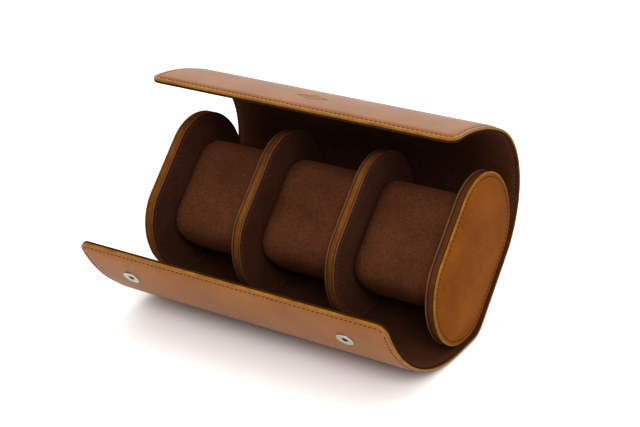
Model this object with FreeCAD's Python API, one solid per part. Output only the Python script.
"""Three-bay watch roll, lying open on a table.

Four upright dividers with rounded ends stand in a row and carry three watch cushions between
them. One long leather wrap, lined with suede, is glued along the backs of the dividers. Its upper
flap arches over the bays and its lower flap lies on the table and curls up in front.

X runs along the row, +Y points to the back, +Z up. Millimetres. The origin is on the table,
under the middle of the whole roll. The dividers lean back by RECLINE.
"""
import FreeCAD
import Part
import math
import os

os.makedirs("parts", exist_ok=True)

# driving dimensions
RECLINE = 42.7            # lean of the dividers from upright, degrees
DIVIDER_HALF_DEPTH = 41.0  # front to back, half
DIVIDER_STRAIGHT = 19.0   # half height of a divider's straight front and back edges
DIVIDER_END_RISE = 33.6   # height of its elliptical end beyond the straight edges
DIVIDER_THICK = 6.3
FACE_THICK = 1.1          # suede or leather face panel of a divider
BAND_THICK = 0.8          # leather strip round a divider's edge
GROOVE = 0.35             # gap each side of that strip
ROW_HALF = 100.8          # middle of the row to the outer face of an end divider
BAY_PITCH = (2 * ROW_HALF - DIVIDER_THICK) / 3

PAD_RISE = 1.4            # foam under the leather on the two end faces
PAD_INSET = 6.0           # edge of the raised flat of that leather
PAD_SLOPE = 3.0           # width of the slope round it
PAD_MARGIN = 2.0          # the foam stops this far inside the raised flat

WRAP_HALF_WIDTH = 102.4
LINING_THICK = 1.2
BOARD_THICK = 1.4
LEATHER_THICK = 1.6
WRAP_THICK = LINING_THICK + BOARD_THICK + LEATHER_THICK
BOARD_INSET = 3.0         # the board stops short of the stitched edges
CORNER_RADIUS = 7.0       # rounded corners of both flaps
HINGE_GAP = 1.0           # between two neighbouring stiff strips of the wrap

TABLE_DROP = 55.45        # dividers' centre line to the table
UPPER_STRAIGHT = 18.9     # wrap glued to the dividers' backs, above their centre line
UPPER_CURL = 52.2         # inner radius of the upper flap where it leaves the dividers
UPPER_CURL_TURN = 106.0
UPPER_TIP_CURL = 139.1    # gentler inner radius towards its front edge
UPPER_TIP_TURN = 27.7
HEEL_RADIUS = 14.0        # inner radius where the wrap turns on to the table
STRIP_FRONT = -16.0       # front end of the flat strip that lies on the table
LOWER_CURL = 102.3        # inner radius of the lower flap
LOWER_CURL_TURN = 65.0

UPPER_HINGES = (14.0, 50.0, 92.0, 126.0)   # along the upper flap from the end of the straight
LOWER_HINGES = (8.0, 28.0, 49.0, 70.0)     # along the lower flap from the end of the flat strip

SNAP_X = 72.2
SOCKET_FROM_EDGE = 22.15  # on the outside of the lower flap
STUD_FROM_EDGE = 9.0      # on the inside of the upper flap
SOCKET_RADIUS = 5.9
SOCKET_PROUD = 0.6
SOCKET_BORE = 2.0
SOCKET_RIM = 0.4          # rounding of its rim
SOCKET_SEAT = 0.05        # its head stands this far off the leather
STUD_RADIUS = 5.5
STUD_PIN_RADIUS = 1.7
STUD_PIN_LENGTH = 1.9
SNAP_SHANK_RADIUS = 1.6
SOCKET_SHANK_RADIUS = 3.0
BACK_RADIUS = 4.5         # washer that holds a snap part, hidden inside the wrap
BACK_THICK = 0.4
FLAT_RELIEF = 0.15        # flat metal faces stay this far inside a curved layer

CUSHION_GAP = 0.6         # each side, to the dividers
CUSHION_FRONT = -23.5     # depths are measured from the dividers' centre line, + to the back
CUSHION_BACK = 20.5
CUSHION_HALF_HEIGHT = 35.0
CUSHION_ROUND = 12.0
CUSHION_EDGE_ROUND = 4.0
COVER_THICK = 1.2

LEAN = math.radians(RECLINE)
HEAD_UP = 90.0 - RECLINE                   # heading of the glued straight, going up
HEAD_DOWN = HEAD_UP + 180.0


def from_row(depth, height):
    """(y, z) about the dividers' centre, of a point given along and across their lean."""
    y = math.cos(LEAN) * depth + math.sin(LEAN) * height
    z = -math.sin(LEAN) * depth + math.cos(LEAN) * height
    return y, z


def heel_start():
    """How far below the centre line the glued straight ends, so that the strip lies on the table."""
    inner_z = WRAP_THICK - TABLE_DROP
    corner = (inner_z + math.sin(LEAN) * DIVIDER_HALF_DEPTH) / math.cos(LEAN)
    tangent = HEEL_RADIUS * math.tan(math.radians(HEAD_UP) / 2)
    return -corner - tangent


LOWER_STRAIGHT = heel_start()


def strip_length():
    """Length of the flat strip, from the heel to STRIP_FRONT."""
    y = from_row(DIVIDER_HALF_DEPTH, -LOWER_STRAIGHT)[0]
    turn = math.radians(HEAD_UP)
    heel_end = y - HEEL_RADIUS * math.sin(turn)
    return heel_end - STRIP_FRONT


# (length, turn in degrees) of each run of the wrap's inner face; turns are inwards
UPPER_RUNS = [
    (UPPER_STRAIGHT, 0.0),
    (UPPER_CURL * math.radians(UPPER_CURL_TURN), UPPER_CURL_TURN),
    (UPPER_TIP_CURL * math.radians(UPPER_TIP_TURN), UPPER_TIP_TURN),
]
LOWER_RUNS = [
    (LOWER_STRAIGHT, 0.0),
    (HEEL_RADIUS * math.radians(HEAD_UP), HEAD_UP),
    (strip_length(), 0.0),
    (LOWER_CURL * math.radians(LOWER_CURL_TURN), LOWER_CURL_TURN),
]
UPPER_END = sum(run[0] for run in UPPER_RUNS)
LOWER_END = sum(run[0] for run in LOWER_RUNS)
LOWER_FLAP_START = LOWER_END - LOWER_RUNS[-1][0]


def wrap_point(s, depth):
    """(y, z) about the dividers' centre, s along the wrap's inner face, + up and - down.

    depth is measured outwards from the inner face.
    """
    side = 1.0 if s >= 0 else -1.0
    runs = UPPER_RUNS if s >= 0 else LOWER_RUNS
    heading = math.radians(HEAD_UP if s >= 0 else HEAD_DOWN)
    y, z = from_row(DIVIDER_HALF_DEPTH, 0.0)
    left = abs(s)
    for length, turn in runs:
        step = min(left, length)
        bend = side * math.radians(turn) * step / length
        chord = step if bend == 0 else step * math.sin(bend / 2) / (bend / 2)
        y += chord * math.cos(heading + bend / 2)
        z += chord * math.sin(heading + bend / 2)
        heading += bend
        left -= step
        if left <= 0:
            break
    out = heading - side * math.pi / 2
    return y + depth * math.cos(out), z + depth * math.sin(out), out


def run_ends():
    """Places along the wrap where its curvature changes."""
    places = [0.0]
    total = 0.0
    for length, turn in UPPER_RUNS:
        total += length
        places.append(total)
    total = 0.0
    for length, turn in LOWER_RUNS:
        total += length
        places.append(-total)
    return sorted(places)


def extent():
    """Rearmost and foremost y of the wrap's outer face."""
    back_s = UPPER_STRAIGHT + UPPER_CURL * math.radians(90.0 - HEAD_UP)
    return wrap_point(-LOWER_END, WRAP_THICK)[0], wrap_point(back_s, WRAP_THICK)[0]


SHIFT_Y = -sum(extent()) / 2
SHIFT_Z = TABLE_DROP


def place(y, z, x=0.0):
    """Point in the part's own frame."""
    return FreeCAD.Vector(x, y + SHIFT_Y, z + SHIFT_Z)


def save(shape, name):
    shape.exportStep("parts/" + name + ".step")


# the wrap

def wrap_edges(start, end, depth, x):
    """Edges of the wrap's section at one depth, a line or an arc for each run."""
    stops = [start] + [s for s in run_ends() if start < s < end] + [end]
    edges = []
    for a, b in zip(stops[:-1], stops[1:]):
        points = [place(*wrap_point(s, depth)[:2], x) for s in (a, (a + b) / 2, b)]
        chord = points[2] - points[0]
        bow = points[1].distanceToLine(points[0], chord)
        if bow < 1e-6:
            edges.append(Part.LineSegment(points[0], points[2]).toShape())
        else:
            edges.append(Part.Arc(*points).toShape())
    return edges


def wrap_slab(start, end, low, high, half_width):
    """A layer of the wrap between two places along it and two depths."""
    inner = wrap_edges(start, end, low, -half_width)
    outer = wrap_edges(start, end, high, -half_width)
    ends = []
    for s in (start, end):
        a = place(*wrap_point(s, low)[:2], -half_width)
        b = place(*wrap_point(s, high)[:2], -half_width)
        ends.append(Part.LineSegment(a, b).toShape())
    loop = Part.Wire(Part.__sortEdges__(inner + outer + ends))
    return Part.Face(loop).extrude(FreeCAD.Vector(2 * half_width, 0, 0))


def round_tip(slab, tip, low, high, half_width, radius):
    """Rounds the two corners of a flap's free edge."""
    y, z = wrap_point(tip, (low + high) / 2)[:2]
    middle = place(y, z)
    corners = []
    for edge in slab.Edges:
        centre = edge.CenterOfMass
        off = math.hypot(centre.y - middle.y, centre.z - middle.z)
        if off < 0.05 and abs(abs(centre.x) - half_width) < 1e-3:
            corners.append(edge)
    return slab.makeFillet(radius, corners)


def snap_hole(s, x, low, high, radius):
    """Cylinder square to the wrap at s, between two depths."""
    y, z, out = wrap_point(s, low)
    axis = FreeCAD.Vector(0, math.cos(out), math.sin(out))
    return Part.makeCylinder(radius, high - low, place(y, z, x), axis)


SOCKET_S = -(LOWER_END - SOCKET_FROM_EDGE)
STUD_S = UPPER_END - STUD_FROM_EDGE
LEATHER_LOW = LINING_THICK + BOARD_THICK


def upper_strips():
    hinges = [UPPER_STRAIGHT + s for s in UPPER_HINGES]
    return list(zip(hinges, hinges[1:] + [UPPER_END]))


def lower_strips():
    hinges = [LOWER_FLAP_START + s for s in LOWER_HINGES]
    return [(-b, -a) for a, b in zip(hinges, hinges[1:] + [LOWER_END])]


def wrap_layers(name, start, end, tip=None, cuts=None):
    """Leather, board and lining of one stiff strip of the wrap, written as three nodes."""
    cuts = cuts or {}
    layers = (
        ("lining", 0.0, LINING_THICK, 0.0),
        ("board", LINING_THICK, LEATHER_LOW, BOARD_INSET),
        ("leather", LEATHER_LOW, WRAP_THICK, 0.0),
    )
    for layer, low, high, inset in layers:
        a, b = start, end
        if tip is not None and tip == start:
            a = start + inset
        if tip is not None and tip == end:
            b = end - inset
        width = WRAP_HALF_WIDTH - inset
        slab = wrap_slab(a, b, low, high, width)
        if tip is not None:
            at = a if tip == start else b
            slab = round_tip(slab, at, low, high, width, CORNER_RADIUS - inset)
        for tool in cuts.get(layer, []):
            slab = slab.cut(tool)
        save(slab, name + "_" + layer)


def stud_cuts():
    """Holes that the studs need in the last strip of the upper flap."""
    cuts = {"lining": [], "board": []}
    for x in (-SNAP_X, SNAP_X):
        cuts["lining"].append(snap_hole(STUD_S, x, -0.5, LINING_THICK + 0.1, STUD_RADIUS))
        cuts["board"].append(
            snap_hole(STUD_S, x, LINING_THICK - 0.5, LEATHER_LOW + 0.5, BACK_RADIUS))
    return cuts


def socket_cuts():
    """Holes that the sockets need in the last strip of the lower flap."""
    cuts = {"board": [], "leather": []}
    for x in (-SNAP_X, SNAP_X):
        cuts["board"].append(
            snap_hole(SOCKET_S, x, LINING_THICK - 0.5, LEATHER_LOW + 0.5, BACK_RADIUS))
        cuts["leather"].append(
            snap_hole(SOCKET_S, x, LEATHER_LOW - 0.5, WRAP_THICK + 0.5, SOCKET_SHANK_RADIUS + 0.1))
    return cuts


def make_wrap():
    uppers = upper_strips()
    lowers = lower_strips()
    half = HINGE_GAP / 2
    wrap_layers("back_panel", lowers[0][1] + half, uppers[0][0] - half)
    for i, (start, end) in enumerate(uppers):
        last = i == len(uppers) - 1
        stop = end if last else end - half
        wrap_layers("upper_flap_%d" % (i + 1), start + half, stop,
                    tip=end if last else None, cuts=stud_cuts() if last else None)
    for i, (start, end) in enumerate(lowers):
        last = i == len(lowers) - 1
        begin = start if last else start + half
        wrap_layers("lower_flap_%d" % (i + 1), begin, end - half,
                    tip=start if last else None, cuts=socket_cuts() if last else None)


# snap fasteners

def make_snaps():
    studs, stud_backs, sockets, socket_backs = [], [], [], []
    for x in (-SNAP_X, SNAP_X):
        flange = snap_hole(STUD_S, x, 0.0, LINING_THICK - FLAT_RELIEF, STUD_RADIUS)
        pin = snap_hole(STUD_S, x, -STUD_PIN_LENGTH, 0.0, STUD_PIN_RADIUS)
        back_low = LEATHER_LOW - BACK_THICK - FLAT_RELIEF
        shank = snap_hole(STUD_S, x, LINING_THICK - FLAT_RELIEF, back_low, SNAP_SHANK_RADIUS)
        studs.append(flange.fuse([pin, shank]).removeSplitter())
        stud_backs.append(
            snap_hole(STUD_S, x, back_low, back_low + BACK_THICK, BACK_RADIUS))
        head = snap_hole(SOCKET_S, x, WRAP_THICK + SOCKET_SEAT, WRAP_THICK + SOCKET_PROUD,
                         SOCKET_RADIUS)
        neck = snap_hole(SOCKET_S, x, LINING_THICK + BACK_THICK, WRAP_THICK + SOCKET_SEAT,
                         SOCKET_SHANK_RADIUS)
        bore = snap_hole(SOCKET_S, x, LEATHER_LOW + 0.4, WRAP_THICK + 2.0, SOCKET_BORE)
        rim = [e for e in head.Edges
               if e.Closed and abs(e.Curve.Radius - SOCKET_RADIUS) < 1e-6][-1:]
        head = head.makeFillet(SOCKET_RIM, [max(rim, key=lambda e: e.Length)])
        sockets.append(head.fuse(neck).cut(bore).removeSplitter())
        socket_backs.append(
            snap_hole(SOCKET_S, x, LINING_THICK, LINING_THICK + BACK_THICK, BACK_RADIUS))
    save(Part.makeCompound(studs), "snap_studs")
    save(Part.makeCompound(stud_backs), "snap_stud_backs")
    save(Part.makeCompound(sockets), "snap_sockets")
    save(Part.makeCompound(socket_backs), "snap_socket_backs")


# dividers

def divider_wire(inset, x):
    """Outline of a divider: straight front and back, elliptical ends."""
    radius_u = DIVIDER_HALF_DEPTH - inset
    rise = DIVIDER_END_RISE - inset
    edges = []
    for side in (1, -1):
        centre = place(*from_row(0.0, side * DIVIDER_STRAIGHT), x)
        along = place(*from_row(1.0, side * DIVIDER_STRAIGHT), x)
        up = place(*from_row(0.0, side * DIVIDER_STRAIGHT + side), x)
        # the major half axis runs front to back
        ellipse = Part.Ellipse(centre + (along - centre) * radius_u,
                               centre + (up - centre) * rise, centre)
        first = ellipse.parameter(place(*from_row(radius_u, side * DIVIDER_STRAIGHT), x))
        edges.append(ellipse.toShape(first, first + math.pi))
    for depth in (radius_u, -radius_u):
        a = place(*from_row(depth, -DIVIDER_STRAIGHT), x)
        b = place(*from_row(depth, DIVIDER_STRAIGHT), x)
        edges.append(Part.LineSegment(a, b).toShape())
    return Part.Wire(Part.__sortEdges__(edges))


def divider_plate(inset, low, high):
    face = Part.Face(divider_wire(inset, low))
    return face.extrude(FreeCAD.Vector(high - low, 0, 0))


def end_leather(outer, side):
    """Leather of an end face, raised over its foam pad. outer is the face's x, side is -1 or +1."""
    low = outer - side * FACE_THICK
    flat = divider_plate(0.0, *sorted((low, outer)))
    foot = divider_wire(PAD_INSET - PAD_SLOPE, outer)
    top = divider_wire(PAD_INSET, outer + side * PAD_RISE)
    rise = Part.makeLoft([foot, top], True)
    pad = end_pad(outer, side)
    return flat.fuse(rise).cut(pad).removeSplitter(), pad


def end_pad(outer, side):
    low = outer - side * FACE_THICK
    return divider_plate(PAD_INSET + PAD_MARGIN, *sorted((low, low + side * PAD_RISE)))


def make_dividers():
    names = ("left_end", "left_inner", "right_inner", "right_end")
    for i, name in enumerate(names):
        left = -ROW_HALF + i * BAY_PITCH
        right = left + DIVIDER_THICK
        core = divider_plate(BAND_THICK, left + FACE_THICK, right - FACE_THICK)
        save(core, name + "_core")
        band_low = left + FACE_THICK + GROOVE
        band_high = right - FACE_THICK - GROOVE
        band = divider_plate(0.0, band_low, band_high).cut(
            divider_plate(BAND_THICK, band_low - 1, band_high + 1))
        save(band, name + "_edge_band")
        if name == "left_end":
            leather, pad = end_leather(left, -1)
            save(leather, name + "_outer_leather")
            save(pad, name + "_outer_pad")
        else:
            save(divider_plate(0.0, left, left + FACE_THICK), name + "_left_suede")
        if name == "right_end":
            leather, pad = end_leather(right, 1)
            save(leather, name + "_outer_leather")
            save(pad, name + "_outer_pad")
        else:
            save(divider_plate(0.0, right - FACE_THICK, right), name + "_right_suede")


# cushions

def cushion_block(centre_x, half_width, inset):
    """Rounded block, leaning with the dividers."""
    front = CUSHION_FRONT + inset
    back = CUSHION_BACK - inset
    half = CUSHION_HALF_HEIGHT - inset
    corners = [(front, -half), (back, -half), (back, half), (front, half)]
    points = [place(*from_row(*c), centre_x - half_width) for c in corners]
    face = Part.Face(Part.makePolygon(points + points[:1]))
    block = face.extrude(FreeCAD.Vector(2 * half_width, 0, 0))
    long_edges = [e for e in block.Edges if e.BoundBox.XLength > half_width]
    block = block.makeFillet(CUSHION_ROUND - inset, long_edges)
    rims = []
    for x in (centre_x - half_width, centre_x + half_width):
        rims += [e for e in block.Edges
                 if abs(e.CenterOfMass.x - x) < 1e-4 and e.BoundBox.XLength < 1e-4]
    return block.makeFillet(CUSHION_EDGE_ROUND - inset, rims)


def make_cushions():
    half = (BAY_PITCH - DIVIDER_THICK) / 2 - CUSHION_GAP
    for i, name in enumerate(("left", "middle", "right")):
        centre_x = (i - 1) * BAY_PITCH
        outer = cushion_block(centre_x, half, 0.0)
        inner = cushion_block(centre_x, half - COVER_THICK, COVER_THICK)
        save(outer.cut(inner), name + "_cushion_cover")
        save(inner, name + "_cushion_foam")


def report_joints():
    """Prints where the hinge lines and the snaps are, in the part's own frame."""
    for i, (start, end) in enumerate(upper_strips()):
        p = place(*wrap_point(start, 0.0)[:2])
        print("upper_hinge_%d %.4f %.4f" % (i + 1, p.y, p.z))
    for i, (start, end) in enumerate(lower_strips()):
        p = place(*wrap_point(end, 0.0)[:2])
        print("lower_hinge_%d %.4f %.4f" % (i + 1, p.y, p.z))
    for name, s, depth in (("socket", SOCKET_S, WRAP_THICK), ("stud", STUD_S, 0.0)):
        y, z, out = wrap_point(s, depth)
        p = place(y, z)
        print("%s %.4f %.4f %.4f" % (name, p.y, p.z, math.degrees(out)))
    centre = place(0.0, 0.0)
    print("centre %.4f %.4f" % (centre.y, centre.z))
    strip = [wrap_point(-(LOWER_FLAP_START - d), WRAP_THICK) for d in (0.0, LOWER_RUNS[2][0])]
    print("flat_strip y %.4f to %.4f" % tuple(p[0] + SHIFT_Y for p in strip))


make_wrap()
make_snaps()
make_dividers()
make_cushions()
report_joints()
